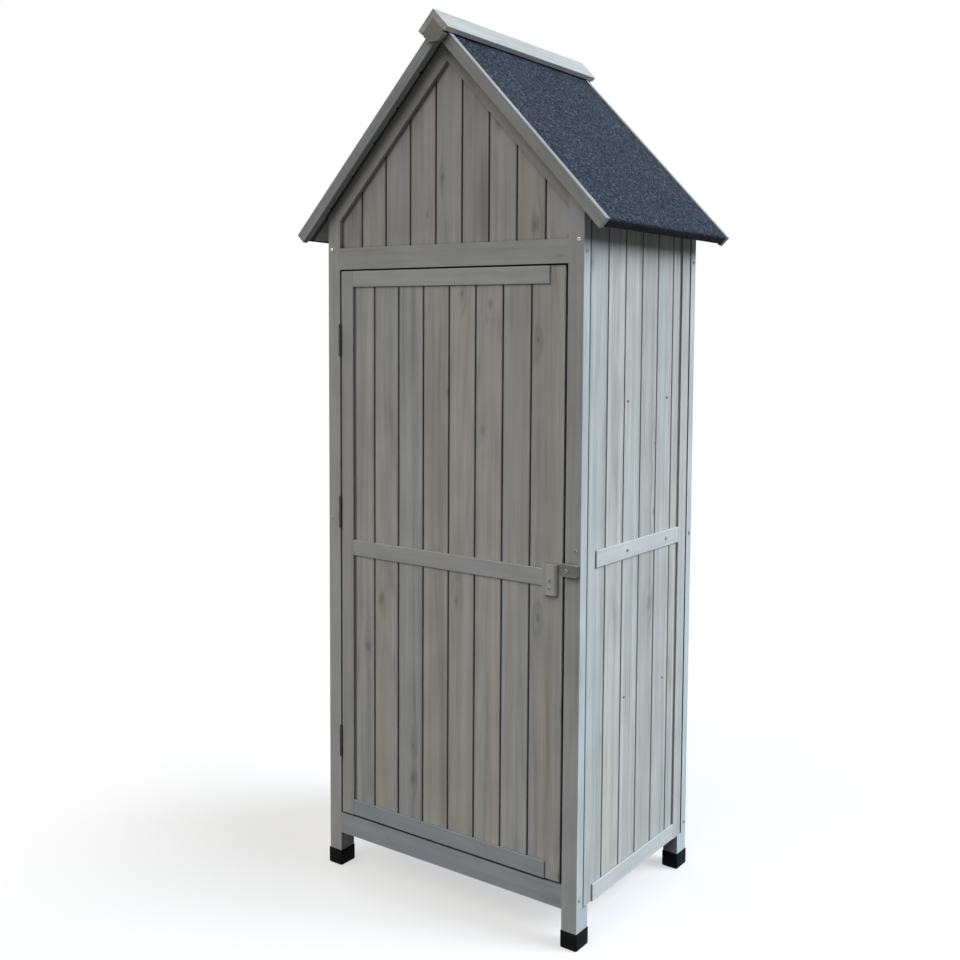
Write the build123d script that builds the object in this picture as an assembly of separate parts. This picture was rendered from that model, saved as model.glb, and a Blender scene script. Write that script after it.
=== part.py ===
from build123d import *
from math import cos, radians, sin, sqrt, tan
import os

# Garden storage cabinet, in millimetres. Origin on the ground under the middle of the cabinet, +Z up,
# front towards -Y, hinges on the left at -X and latch on the right at +X.

# Overall sizes
HEIGHT = 1798.0             # ground to the top of the ridge slats
BODY_WIDTH = 644.0          # outside of the corner posts, across the front
BODY_DEPTH = 456.0          # outside of the corner posts, front to back
ROOF_PITCH = 46.0           # degrees
EAVE_OVERHANG = 48.0        # deck underside beyond the posts, to each side
VERGE_OVERHANG = 16.0       # deck beyond the posts, front and back

# Timber sections
POST_WIDTH = 34.0           # across the front
POST_DEPTH = 40.0           # front to back, at the foot
POST_STRIP = 22.0           # depth of post that stays outside the side wall
BATTEN_WIDTH = 34.0
BATTEN_THICKNESS = 3.5
BOARD_THICKNESS = 10.0
BOARD_PITCH = 66.2          # cover width of one wall board
EDGE_BOARD = 75.0           # width of the board at the free edge of the door
SMALLEST_BOARD = 15.0       # a narrower remainder is left on the last whole board
RAIL_HEIGHT = 45.0
RAIL_THICKNESS = 14.0
RAKE_WIDTH = 32.0
RAKE_THICKNESS = 9.5        # front raking bars, which the gable boards lie behind
CLEAT_SIZE = 20.0
EAVE_RAIL_HEIGHT = 40.0
STOP_THICKNESS = 12.0
STOP_LAP = 12.0             # how far the stop strip shows below the crossbar
STOP_HEIGHT = 32.0
EDGE_ROUND = 1.8            # rounding of exposed timber edges

# Tongue-and-groove joint
GROOVE_BEVEL = 1.0          # bevel on the visible edge of each board
JOINT_GAP = 2.0             # slot between the faces of two boards, down to the tongue
TONGUE_LENGTH = 4.0
TONGUE_THICKNESS = 3.0
TONGUE_PLAY = 0.3

# Levels and places of rails and battens
BASE_LEVEL = 75.5           # underside of the rails and walls above the ground
CROSSBAR_DROP = 68.8        # top of the front top rail below the deck at the outside of the posts
REAR_RAIL_DROP = 3.0        # rear middle rail below the middle of the walls
DOOR_BATTEN_MARGIN = 34.0   # batten end to the free edge of the door
SIDE_BATTEN_MARGIN = 29.0   # batten end to the front edge of the side wall
FRONT_WALL_GAP = 8.0        # front post's strip to the boards of the side wall
REAR_WALL_GAP = 4.5         # side wall to the rear post's strip

# Shelves and floor
SHELF_SPACING = 297.0
FLOOR_DROP = 0.5            # top of the floor below the top of the bottom rails
SHELF_THICKNESS = 10.0
SHELF_BOARD_WIDTH = 95.0
SHELF_BOARD_GAP = 4.0
SHELF_SETBACK = 8.0         # shelf front edge behind the back of the door
SHELF_FIT = 0.5

# Foot caps
CAP_HEIGHT = 34.0
CAP_WALL = 2.0
CAP_FLOOR = 4.0
CAP_FIT = 0.2
CAP_ROUND = 1.5

# Roof
DECK_THICKNESS = 14.0
DECK_BOARD_WIDTH = 88.0
FELT_THICKNESS = 3.0
BARGE_THICKNESS = 12.0
BARGE_PROUD = 2.0           # barge top above the felt
BARGE_DROP = 5.0            # barge bottom below the deck
SLAT_THICKNESS = 12.0
SLAT_WIDTH = 53.0
PLATE_THICKNESS = 15.0
PLATE_HALF_WIDTH = 24.0
PLATE_SIDE = 8.0            # upright part of the plate's edge
PLATE_CORNER = 12.0         # corner cut off at the plate's bottom

# Door hinges
TOP_HINGE_INSET = 146.0     # centre of the hinge to the end of the door
BOTTOM_HINGE_INSET = 159.0
MIDDLE_HINGE_RISE = 74.0    # centre of the hinge above the middle of the door
HINGE_LENGTH = 66.0
LEAF_THICKNESS = 1.4
LEAF_DEPTH = 12.5           # leaf inside the gap, behind the front of the posts
LEAF_PLAY = 0.7             # gap between the two leaves of a closed hinge
KNUCKLE_RADIUS = 2.8
KNUCKLE_CLEARANCE = 0.5
KNUCKLE_PLAY = 0.3          # end play between knuckles
MIDDLE_KNUCKLE = 26.0
HINGE_PIN_RADIUS = 1.4
PIN_CLEARANCE = 0.05
PIN_TIP_RADIUS = 2.3
PIN_TIP_HEIGHT = 1.5

# Door gaps
GAP_HINGE = 2 * LEAF_THICKNESS + LEAF_PLAY
GAP_LATCH = 7.5
GAP_TOP = 3.5
GAP_BOTTOM = 3.5
STOP_CLEARANCE = 0.5        # closed door to the stop strip

# Latch
BLOCK_WIDTH = 32.0
BLOCK_HEIGHT = 58.5
BLOCK_THICKNESS = 10.0
BLOCK_DROP = 2.25           # middle of the block below the middle of the door
BLOCK_MARGIN = 8.5          # block to the free edge of the door
BLOCK_ROUND = 8.0           # rounding of the grip edge
BLOCK_SCREW_DROPS = (1.75, 15.75)  # screws below the middle of the block
LATCH_RISE = 21.0           # turn button above the middle of the door
PIVOT_INSET = 9.5           # pivot from the inner edge of the post
SHORT_ARM = 15.0
LONG_ARM = 22.5
BUTTON_HEIGHT = 23.0
BUTTON_THICKNESS = 10.0
BUTTON_ROUND = 2.5
BUTTON_PLAY = 0.3
PIVOT_RADIUS = 2.2
PIVOT_CLEARANCE = 0.06

# Screws
SCREW_RADIUS = 1.75
SCREW_HEAD_RADIUS = 3.8
SCREW_HEAD_HEIGHT = 2.2
SCREW_HEAD_BEVEL = 1.4      # bevel round the top of a head
SCREW_SIDES = 8             # sides of a screw's round
SCREW_HOLE_PLAY = 0.05
SCREW_BITE = 14.0           # length in the second piece
LATCH_SCREW_BITE = 7.0
PIVOT_BITE = 20.0
UPPER_SCREW_DROP = 2.0      # upper screw in the front of a post below the top of the crossbar
MIDDLE_SCREW_RISE = 58.0    # middle screw in the front of a post above the middle of the door
SHELF_SCREW_PLACES = (-52.0, 111.0)
RAIL_SCREW_INSET = 10.0     # screw in the side of a post from its front or rear face
WALL_SCREW_COVER = 2.5      # screw in the front of a post from the inside of the wall boards it bites in

# Places worked out from the sizes above
PITCH = radians(ROOF_PITCH)
HALF_WIDTH = BODY_WIDTH / 2
HALF_DEPTH = BODY_DEPTH / 2
FRONT = -HALF_DEPTH
BACK = HALF_DEPTH
POST_INNER = HALF_WIDTH - POST_WIDTH
POST_SHOULDER = HALF_DEPTH - POST_STRIP
WALL_FRONT = FRONT_WALL_GAP - POST_SHOULDER
WALL_REAR = POST_SHOULDER - REAR_WALL_GAP
POST_BACK = HALF_DEPTH - POST_DEPTH
WALL_FACE = HALF_WIDTH - BATTEN_THICKNESS
WALL_INSIDE = WALL_FACE - BOARD_THICKNESS
DOOR_FACE = FRONT + BATTEN_THICKNESS
DOOR_BACK = DOOR_FACE + BOARD_THICKNESS
GABLE_FACE = FRONT + RAKE_THICKNESS
RAIL_BACK = max(FRONT + RAIL_THICKNESS, DOOR_BACK + STOP_CLEARANCE)
REAR_RAIL_FRONT = BACK - RAIL_THICKNESS
REAR_INSIDE = REAR_RAIL_FRONT - BOARD_THICKNESS
FELT_TOP = DECK_THICKNESS + FELT_THICKNESS
BARGE_TOP = FELT_TOP + BARGE_PROUD
SLAT_TOP = BARGE_TOP + SLAT_THICKNESS
DECK_APEX = HEIGHT - SLAT_TOP / cos(PITCH)
WALL_TOP = DECK_APEX - HALF_WIDTH * tan(PITCH)
WALL_MIDDLE = (BASE_LEVEL + WALL_TOP) / 2
CROSSBAR_TOP = WALL_TOP - CROSSBAR_DROP
CROSSBAR_LEVEL = CROSSBAR_TOP - RAIL_HEIGHT
REAR_RAIL_LEVEL = WALL_MIDDLE - REAR_RAIL_DROP - RAIL_HEIGHT / 2
FLOOR_LEVEL = BASE_LEVEL + RAIL_HEIGHT - FLOOR_DROP
SHELF_CLEAT_CENTRES = {
    "lower": WALL_MIDDLE - SHELF_SPACING,
    "middle": WALL_MIDDLE,
    "upper": WALL_MIDDLE + SHELF_SPACING,
}
DOOR_LEFT = -POST_INNER + GAP_HINGE
DOOR_RIGHT = POST_INNER - GAP_LATCH
DOOR_BOTTOM = BASE_LEVEL + RAIL_HEIGHT + GAP_BOTTOM
DOOR_TOP = CROSSBAR_LEVEL - GAP_TOP
DOOR_MIDDLE = (DOOR_BOTTOM + DOOR_TOP) / 2
STILE_EDGE = DOOR_LEFT + BATTEN_WIDTH
DECK_LENGTH = (HALF_WIDTH + EAVE_OVERHANG) / cos(PITCH)
DECK_END = HALF_DEPTH + VERGE_OVERHANG
BARGE_END = DECK_END + BARGE_THICKNESS
RIDGE_END = BARGE_END + PLATE_THICKNESS
PIVOT_X = POST_INNER + PIVOT_INSET
LATCH_LEVEL = DOOR_MIDDLE + LATCH_RISE
BUTTON_BACK = FRONT - BUTTON_PLAY
BUTTON_FACE = BUTTON_BACK - BUTTON_THICKNESS
BLOCK_RIGHT = DOOR_RIGHT - BLOCK_MARGIN
BLOCK_LEFT = BLOCK_RIGHT - BLOCK_WIDTH
BLOCK_MIDDLE = DOOR_MIDDLE - BLOCK_DROP
HINGE_CENTRES = (
    DOOR_BOTTOM + BOTTOM_HINGE_INSET,
    DOOR_MIDDLE + MIDDLE_HINGE_RISE,
    DOOR_TOP - TOP_HINGE_INSET,
)
HINGE_X = -POST_INNER + GAP_HINGE / 2
HINGE_Y = FRONT - sqrt((KNUCKLE_RADIUS + KNUCKLE_CLEARANCE) ** 2 - (GAP_HINGE / 2) ** 2)

LEFT = Vector(-1, 0, 0)
RIGHT = Vector(1, 0, 0)
FORWARD = Vector(0, -1, 0)
UPWARD = Vector(0, 0, 1)

nodes = {}


def block(x, y, z):
    """Solid between two bounds along each axis."""
    size = (x[1] - x[0], y[1] - y[0], z[1] - z[0])
    return Pos(x[0], y[0], z[0]) * Box(*size, align=(Align.MIN, Align.MIN, Align.MIN))


def eased(solid, axis, end):
    """Rounds the two long edges of the exposed face, the first or last one along an axis."""
    face = solid.faces().sort_by(axis)[end]
    return fillet(face.edges().sort_by(SortBy.LENGTH)[-2:], EDGE_ROUND)


def prism(points, y0, y1):
    """Solid with an outline in XZ that runs from y0 to y1."""
    outline = Plane.XZ.offset(-y1) * Polygon(*points, align=None)
    return extrude(outline, amount=y1 - y0, dir=(0, -1, 0))


def mirrored(shape):
    """The same piece on the left of the cabinet."""
    return mirror(shape, about=Plane.YZ)


def roof_point(along, above):
    """Point of the right slope: distance down the deck's underside from the apex, and height above it."""
    x = along * cos(PITCH) + above * sin(PITCH)
    z = DECK_APEX - along * sin(PITCH) + above * cos(PITCH)
    return (x, z)


def ridge_point(above):
    """Point over the middle of the ridge, at a height above the deck's underside."""
    return (0, DECK_APEX + above / cos(PITCH))


def under_deck():
    """Everything below the deck, which upright timbers are cut to."""
    reach = HALF_WIDTH + EAVE_OVERHANG
    eave = DECK_APEX - reach * tan(PITCH)
    outline = [(0, DECK_APEX), (reach, eave), (reach, -HEIGHT), (-reach, -HEIGHT), (-reach, eave)]
    return prism(outline, -BODY_DEPTH, BODY_DEPTH)


def board_joints(start, first, end):
    """Edges of a row of boards: a first board of its own width, then whole boards and a remainder."""
    step = BOARD_PITCH if end > start else -BOARD_PITCH
    joints = [start]
    edge = start + first
    while (end - edge) * step > SMALLEST_BOARD * abs(step):
        joints.append(edge)
        edge += step
    joints.append(end)
    return sorted(joints)


def board_outline(left, right, thickness, has_groove, has_tongue):
    """Cross-section of one board, visible face at zero depth, tongue on the right and groove on the left."""
    near = (thickness - TONGUE_THICKNESS) / 2
    far = near + TONGUE_THICKNESS
    shoulder = right - JOINT_GAP if has_tongue else right
    points = [(left, GROOVE_BEVEL), (left + GROOVE_BEVEL, 0)]
    points += [(shoulder - GROOVE_BEVEL, 0), (shoulder, GROOVE_BEVEL)]
    if has_tongue:
        tip = right + TONGUE_LENGTH
        points += [(shoulder, near), (tip, near), (tip, far), (right, far)]
    points += [(right, thickness), (left, thickness)]
    if has_groove:
        floor = left + TONGUE_LENGTH + TONGUE_PLAY
        low = near - TONGUE_PLAY / 2
        high = far + TONGUE_PLAY / 2
        points += [(left, high), (floor, high), (floor, low), (left, low)]
    return points


def board_row(plane, joints, length, thickness=BOARD_THICKNESS):
    """Boards side by side along the plane's X, running along its normal, with tongues in grooves."""
    boards = []
    for i, (left, right) in enumerate(zip(joints, joints[1:])):
        outline = board_outline(left, right, thickness, i > 0, i < len(joints) - 2)
        boards.append(extrude(plane * Polygon(*outline, align=None), amount=length, dir=plane.z_dir))
    return boards


def facets(point, outward, radius):
    """Round outline of a few sides on the surface, for what repeats and is small."""
    return Plane(origin=point, z_dir=outward) * RegularPolygon(radius, SCREW_SIDES)


def screw(point, outward, length):
    """Raised-head screw with the underside of its head at a point of the surface."""
    head = extrude(facets(point, outward, SCREW_HEAD_RADIUS), amount=SCREW_HEAD_HEIGHT, dir=outward)
    top = head.faces().sort_by(Axis(point, outward))[-1]
    head = chamfer(top.edges(), SCREW_HEAD_BEVEL)
    return head + extrude(facets(point, outward, SCREW_RADIUS), amount=length, dir=-outward)


def drill(names, hole):
    """Takes a hole out of the named pieces."""
    for name in names:
        nodes[name] = [solid - hole for solid in nodes[name]]


HOUSE = under_deck()


# Corner posts and foot caps
def corner_post():
    """Rear right post: a full square foot, and above it a rebate that takes the edge of the side wall."""
    post = block((POST_INNER, HALF_WIDTH), (POST_BACK, BACK), (CAP_FLOOR, HEIGHT))
    corner = post.edges().filter_by(Axis.Z).sort_by_distance((HALF_WIDTH, BACK, HEIGHT / 2))[0]
    post = fillet(corner, EDGE_ROUND)
    behind = (POST_BACK - POST_DEPTH, POST_SHOULDER)
    rebate = block((WALL_INSIDE, BODY_WIDTH), behind, (BASE_LEVEL, HEIGHT * 2))
    return (post - rebate) & HOUSE


def foot_outline(margin, levels):
    """Block round the foot of the rear right post, with a margin on every side."""
    across = (POST_INNER - margin, HALF_WIDTH + margin)
    return block(across, (POST_BACK - margin, BACK + margin), levels)


def foot_cap():
    """Rear right cap: a cup with rounded corners that the foot of the post stands in."""
    outer = foot_outline(CAP_FIT + CAP_WALL, (0, CAP_HEIGHT))
    outer = fillet(outer.edges().filter_by(Axis.Z), CAP_ROUND)
    return outer - foot_outline(CAP_FIT, (CAP_FLOOR, HEIGHT))


for piece, shape in (("post", corner_post()), ("foot_cap", foot_cap())):
    nodes[piece + "_rear_right"] = [shape]
    nodes[piece + "_rear_left"] = [mirrored(shape)]
    front_shape = mirror(shape, about=Plane.XZ)
    nodes[piece + "_front_right"] = [front_shape]
    nodes[piece + "_front_left"] = [mirrored(front_shape)]


# Rails between the posts
def rail(y, bottom):
    """Rail across the cabinet between two posts."""
    return block((-POST_INNER, POST_INNER), y, (bottom, bottom + RAIL_HEIGHT))


front_span = (FRONT, RAIL_BACK)
rear_span = (REAR_RAIL_FRONT, BACK)
nodes["front_bottom_rail"] = [rail(front_span, BASE_LEVEL)]
nodes["front_top_rail"] = [rail(front_span, CROSSBAR_LEVEL)]
nodes["rear_bottom_rail"] = [rail(rear_span, BASE_LEVEL)]
nodes["rear_middle_rail"] = [rail(rear_span, REAR_RAIL_LEVEL)]
nodes["rear_top_rail"] = [rail(rear_span, CROSSBAR_LEVEL)]


# Gables
def rake(y):
    """Right raking bar under the deck, from the ridge to the post."""
    drop = RAKE_WIDTH / cos(PITCH)
    foot = DECK_APEX - POST_INNER * tan(PITCH)
    outline = [(0, DECK_APEX), (POST_INNER, foot), (POST_INNER, foot - drop), (0, DECK_APEX - drop)]
    return prism(outline, *y)


def centred_joints(half):
    """Edges of a row of boards with one board in the middle."""
    joints = []
    edge = BOARD_PITCH / 2
    while edge < half - SMALLEST_BOARD:
        joints += [edge, -edge]
        edge += BOARD_PITCH
    return sorted(joints + [-half, half])


for end, span in (("front", (FRONT, GABLE_FACE)), ("rear", rear_span)):
    bar = rake(span)
    nodes[end + "_rake_right"] = [bar]
    nodes[end + "_rake_left"] = [mirrored(bar)]

gable_plane = Plane(origin=(0, GABLE_FACE, CROSSBAR_TOP), x_dir=(1, 0, 0), z_dir=(0, 0, 1))
gable = board_row(gable_plane, centred_joints(POST_INNER), HEIGHT - CROSSBAR_TOP)
nodes["front_gable_boards"] = [board & HOUSE for board in gable]
rear_plane = Plane(origin=(0, REAR_RAIL_FRONT, BASE_LEVEL), x_dir=(-1, 0, 0), z_dir=(0, 0, 1))
rear_boards = board_row(rear_plane, centred_joints(POST_INNER), HEIGHT - BASE_LEVEL)
nodes["rear_boards"] = [board & HOUSE for board in rear_boards]


# Side walls
def side_wall():
    """Right wall: boards, a stile along the rear edge and two face battens that butt against it."""
    plane = Plane(origin=(WALL_FACE, 0, BASE_LEVEL), x_dir=(0, 1, 0), z_dir=(0, 0, 1))
    joints = board_joints(WALL_FRONT, BOARD_PITCH, WALL_REAR)
    boards = [board & HOUSE for board in board_row(plane, joints, HEIGHT - BASE_LEVEL)]
    thick = (WALL_FACE, HALF_WIDTH)
    stile_front = WALL_REAR - BATTEN_WIDTH
    stile = eased(block(thick, (stile_front, WALL_REAR), (BASE_LEVEL, WALL_TOP)), Axis.X, -1)
    along = (WALL_FRONT + SIDE_BATTEN_MARGIN, stile_front)
    low = WALL_MIDDLE - BATTEN_WIDTH / 2
    battens = [
        eased(block(thick, along, (BASE_LEVEL, BASE_LEVEL + BATTEN_WIDTH)), Axis.X, -1),
        eased(block(thick, along, (low, low + BATTEN_WIDTH)), Axis.X, -1),
    ]
    return {"boards": boards, "stile": [stile], "battens": battens}


for piece, solids in side_wall().items():
    nodes["right_side_" + piece] = solids
    nodes["left_side_" + piece] = [mirrored(solid) for solid in solids]


# Cleats, eave rails, shelves and floor
def cleat(centre):
    """Bar along the inside of the right wall, between the posts."""
    half = CLEAT_SIZE / 2
    reach = (WALL_INSIDE - CLEAT_SIZE, WALL_INSIDE)
    return block(reach, (-POST_BACK, POST_BACK), (centre - half, centre + half))


def eave_rail():
    """Rail at the head of the right wall that carries the deck, its top cut to the slope."""
    top = DECK_APEX - (WALL_INSIDE - CLEAT_SIZE) * tan(PITCH)
    bottom = DECK_APEX - WALL_INSIDE * tan(PITCH) - EAVE_RAIL_HEIGHT
    reach = (WALL_INSIDE - CLEAT_SIZE, WALL_INSIDE)
    return block(reach, (-POST_BACK, POST_BACK), (bottom, top)) & HOUSE


def slatted(front, top):
    """Loose boards across the cabinet, notched round the posts."""
    back = REAR_INSIDE - SHELF_FIT
    count = max(1, round((back - front + SHELF_BOARD_GAP) / (SHELF_BOARD_WIDTH + SHELF_BOARD_GAP)))
    width = (back - front + SHELF_BOARD_GAP) / count - SHELF_BOARD_GAP
    side = WALL_INSIDE - SHELF_FIT
    inner = POST_INNER - SHELF_FIT
    depth = POST_BACK - SHELF_FIT
    level = (top - SHELF_THICKNESS, top)
    full = block((-side, side), (-depth, depth), level)
    clear = full + block((-inner, inner), (FRONT, BACK), level)
    starts = [front + i * (width + SHELF_BOARD_GAP) for i in range(count)]
    return [block((-side, side), (start, start + width), level) & clear for start in starts]


shelf_tops = {}
cleats = [cleat(FLOOR_LEVEL - SHELF_THICKNESS - CLEAT_SIZE / 2)]
for name, centre in SHELF_CLEAT_CENTRES.items():
    cleats.append(cleat(centre))
    shelf_tops[name] = centre + CLEAT_SIZE / 2 + SHELF_THICKNESS
nodes["right_shelf_cleats"] = cleats
nodes["left_shelf_cleats"] = [mirrored(bar) for bar in cleats]
nodes["right_eave_rail"] = [eave_rail()]
nodes["left_eave_rail"] = [mirrored(eave_rail())]
nodes["floor_boards"] = slatted(RAIL_BACK + SHELF_FIT, FLOOR_LEVEL)
for name, top in shelf_tops.items():
    nodes["shelf_" + name] = slatted(DOOR_BACK + SHELF_SETBACK, top)
stop_low = CROSSBAR_LEVEL - STOP_LAP
stop_bounds = ((-POST_INNER, POST_INNER), (RAIL_BACK, RAIL_BACK + STOP_THICKNESS))
nodes["door_stop_strip"] = [block(*stop_bounds, (stop_low, stop_low + STOP_HEIGHT))]


# Roof
def deck():
    """Right slope of the deck: boards along the cabinet, tongue and groove showing underneath."""
    count = max(1, round(DECK_LENGTH / DECK_BOARD_WIDTH))
    joints = [DECK_LENGTH * i / count for i in range(count + 1)]
    down = (cos(PITCH), 0, -sin(PITCH))
    plane = Plane(origin=(0, DECK_END, DECK_APEX), x_dir=down, z_dir=(0, -1, 0))
    return board_row(plane, joints, 2 * DECK_END, DECK_THICKNESS)


def felt():
    """Right sheet of felt, bent down over the eave."""
    lip = DECK_LENGTH + FELT_THICKNESS
    outline = [
        ridge_point(DECK_THICKNESS),
        ridge_point(FELT_TOP),
        roof_point(lip, FELT_TOP),
        roof_point(lip, 0),
        roof_point(DECK_LENGTH, 0),
        roof_point(DECK_LENGTH, DECK_THICKNESS),
    ]
    return prism(outline, -DECK_END, DECK_END)


def barge_board():
    """Front right barge board over the ends of the deck boards."""
    lip = DECK_LENGTH + FELT_THICKNESS
    outline = [
        ridge_point(-BARGE_DROP),
        ridge_point(BARGE_TOP),
        roof_point(lip, BARGE_TOP),
        roof_point(lip, -BARGE_DROP),
    ]
    return eased(prism(outline, -BARGE_END, -DECK_END), Axis.Y, 0)


def ridge_slat():
    """Right half of the ridge cover, resting on the barge boards."""
    edge = SLAT_WIDTH - SLAT_TOP * tan(PITCH)
    outline = [
        ridge_point(BARGE_TOP),
        ridge_point(SLAT_TOP),
        roof_point(edge, SLAT_TOP),
        roof_point(edge, BARGE_TOP),
    ]
    slat = prism(outline, -RIDGE_END, RIDGE_END)
    return fillet(slat.faces().sort_by(Axis.X)[-1].edges().filter_by(Axis.Y), EDGE_ROUND)


def ridge_plate():
    """Front plate under the ridge slats, which closes the ends of the barge boards."""
    top = ridge_point(BARGE_TOP)
    shoulder = top[1] - PLATE_HALF_WIDTH * tan(PITCH)
    corner = shoulder - PLATE_SIDE
    right = [
        (PLATE_HALF_WIDTH, shoulder),
        (PLATE_HALF_WIDTH, corner),
        (PLATE_HALF_WIDTH - PLATE_CORNER, corner - PLATE_CORNER),
    ]
    left = [(-x, z) for x, z in reversed(right)]
    return prism([top] + right + left, -RIDGE_END, -BARGE_END)


barge = barge_board()
rear_barge = mirror(barge, about=Plane.XZ)
plate = ridge_plate()
nodes["roof_deck_right"] = deck()
nodes["roof_deck_left"] = [mirrored(board) for board in deck()]
nodes["roof_felt_right"] = [felt()]
nodes["roof_felt_left"] = [mirrored(felt())]
nodes["barge_front_right"] = [barge]
nodes["barge_front_left"] = [mirrored(barge)]
nodes["barge_rear_right"] = [rear_barge]
nodes["barge_rear_left"] = [mirrored(rear_barge)]
nodes["ridge_slat_right"] = [ridge_slat()]
nodes["ridge_slat_left"] = [mirrored(ridge_slat())]
nodes["ridge_plate_front"] = [plate]
nodes["ridge_plate_rear"] = [mirror(plate, about=Plane.XZ)]


# Door
def face_batten(right, bottom):
    """Batten across the face of the door, from the stile to its right end."""
    bounds = block((STILE_EDGE, right), (FRONT, DOOR_FACE), (bottom, bottom + BATTEN_WIDTH))
    return eased(bounds, Axis.Y, 0)


def latch_block():
    """Wooden grip block on the door boards beside the middle batten."""
    low = BLOCK_MIDDLE - BLOCK_HEIGHT / 2
    depth = (DOOR_FACE - BLOCK_THICKNESS, DOOR_FACE)
    solid = block((BLOCK_LEFT, BLOCK_RIGHT), depth, (low, low + BLOCK_HEIGHT))
    grip = solid.faces().sort_by(Axis.X)[-1].edges().filter_by(Axis.Z).sort_by(Axis.Y)[0]
    return fillet(grip, min(BLOCK_ROUND, BLOCK_THICKNESS - EDGE_ROUND))


door_plane = Plane(origin=(0, DOOR_FACE, DOOR_BOTTOM), x_dir=(1, 0, 0), z_dir=(0, 0, 1))
door_joints = board_joints(DOOR_RIGHT, -EDGE_BOARD, DOOR_LEFT)
stile_bounds = block((DOOR_LEFT, STILE_EDGE), (FRONT, DOOR_FACE), (DOOR_BOTTOM, DOOR_TOP))
batten_right = DOOR_RIGHT - DOOR_BATTEN_MARGIN
nodes["door_boards"] = board_row(door_plane, door_joints, DOOR_TOP - DOOR_BOTTOM)
nodes["door_stile"] = [eased(stile_bounds, Axis.Y, 0)]
nodes["door_top_batten"] = [face_batten(batten_right, DOOR_TOP - BATTEN_WIDTH)]
nodes["door_middle_batten"] = [face_batten(BLOCK_LEFT, DOOR_MIDDLE - BATTEN_WIDTH / 2)]
nodes["door_bottom_batten"] = [face_batten(batten_right, DOOR_BOTTOM)]
nodes["latch_block"] = [latch_block()]


# Hinges
def knuckle(low, high, radius=KNUCKLE_RADIUS):
    """Round barrel on the hinge axis."""
    barrel = Cylinder(radius, high - low, align=(Align.CENTER, Align.CENTER, Align.MIN))
    return Pos(HINGE_X, HINGE_Y, low) * barrel


def relief(low, high):
    """Room for the other leaf's barrel, cut out of the edge of a leaf."""
    depth = (HINGE_Y, HINGE_Y + KNUCKLE_RADIUS + KNUCKLE_PLAY)
    return block((-POST_INNER, DOOR_LEFT), depth, (low, high))


def pin_tip(level, outward):
    """Button on the end of a hinge pin."""
    outline = facets((HINGE_X, HINGE_Y, level), outward, PIN_TIP_RADIUS)
    return extrude(outline, amount=PIN_TIP_HEIGHT, dir=outward)


def hinge(centre):
    """Post leaf with two outer knuckles, door leaf with the middle one, and their pin."""
    low = centre - HINGE_LENGTH / 2
    high = centre + HINGE_LENGTH / 2
    inner_low = centre - MIDDLE_KNUCKLE / 2
    inner_high = centre + MIDDLE_KNUCKLE / 2
    depth = (HINGE_Y, FRONT + LEAF_DEPTH)
    bore = knuckle(low, high, HINGE_PIN_RADIUS + PIN_CLEARANCE)
    post_leaf = block((-POST_INNER, LEAF_THICKNESS - POST_INNER), depth, (low, high))
    post_leaf -= relief(inner_low, inner_high)
    post_leaf += knuckle(low, inner_low)
    post_leaf += knuckle(inner_high, high)
    door_leaf = block((DOOR_LEFT - LEAF_THICKNESS, DOOR_LEFT), depth, (low, high))
    door_leaf -= relief(low, inner_low + KNUCKLE_PLAY)
    door_leaf -= relief(inner_high - KNUCKLE_PLAY, high)
    door_leaf += knuckle(inner_low + KNUCKLE_PLAY, inner_high - KNUCKLE_PLAY)
    pin = knuckle(low, high, HINGE_PIN_RADIUS) + pin_tip(high, UPWARD) + pin_tip(low, -UPWARD)
    return post_leaf - bore, door_leaf - bore, pin


hinges = [hinge(centre) for centre in HINGE_CENTRES]
nodes["hinge_post_leaves"] = [post_leaf for post_leaf, _, _ in hinges]
nodes["hinge_door_leaves"] = [door_leaf for _, door_leaf, _ in hinges]
nodes["hinge_pins"] = [pin for _, _, pin in hinges]


# Turn button
def pivot_round(radius, front, back):
    """Round on the axis of the turn button, from a front face to a back face."""
    start = Plane(origin=(PIVOT_X, back, LATCH_LEVEL), z_dir=FORWARD)
    return start * Cylinder(radius, back - front, align=(Align.CENTER, Align.CENTER, Align.MIN))


def turn_button():
    """Bar with its short arm towards the door: half a turn brings the long arm over the door's edge."""
    across = (PIVOT_X - SHORT_ARM, PIVOT_X + LONG_ARM)
    half = BUTTON_HEIGHT / 2
    bar = block(across, (BUTTON_FACE, BUTTON_BACK), (LATCH_LEVEL - half, LATCH_LEVEL + half))
    bar = fillet(bar.edges().filter_by(Axis.Y), BUTTON_ROUND)
    return bar - pivot_round(PIVOT_RADIUS + PIVOT_CLEARANCE, BUTTON_FACE, BUTTON_BACK)


def pivot_screw():
    """Screw that the turn button swings on, its head just clear of the button."""
    seat = BUTTON_FACE - BUTTON_PLAY
    head = pivot_round(SCREW_HEAD_RADIUS, seat - SCREW_HEAD_HEIGHT, seat)
    return head + pivot_round(PIVOT_RADIUS, seat, FRONT + PIVOT_BITE)


nodes["turn_button"] = [turn_button()]
nodes["turn_button_screw"] = [pivot_screw()]
pivot_hole = pivot_round(PIVOT_RADIUS + SCREW_HOLE_PLAY, FRONT, FRONT + PIVOT_BITE + SCREW_HOLE_PLAY)
drill(["post_front_right"], pivot_hole)


# Screws, each with its holes
def fasten(node, pieces, point, outward, length):
    """Adds a screw to a node and drills the pieces that it passes through."""
    nodes.setdefault(node, []).append(screw(point, outward, length))
    bore = facets(point, outward, SCREW_RADIUS + SCREW_HOLE_PLAY)
    drill(pieces, extrude(bore, amount=length + SCREW_HOLE_PLAY, dir=-outward))


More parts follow.
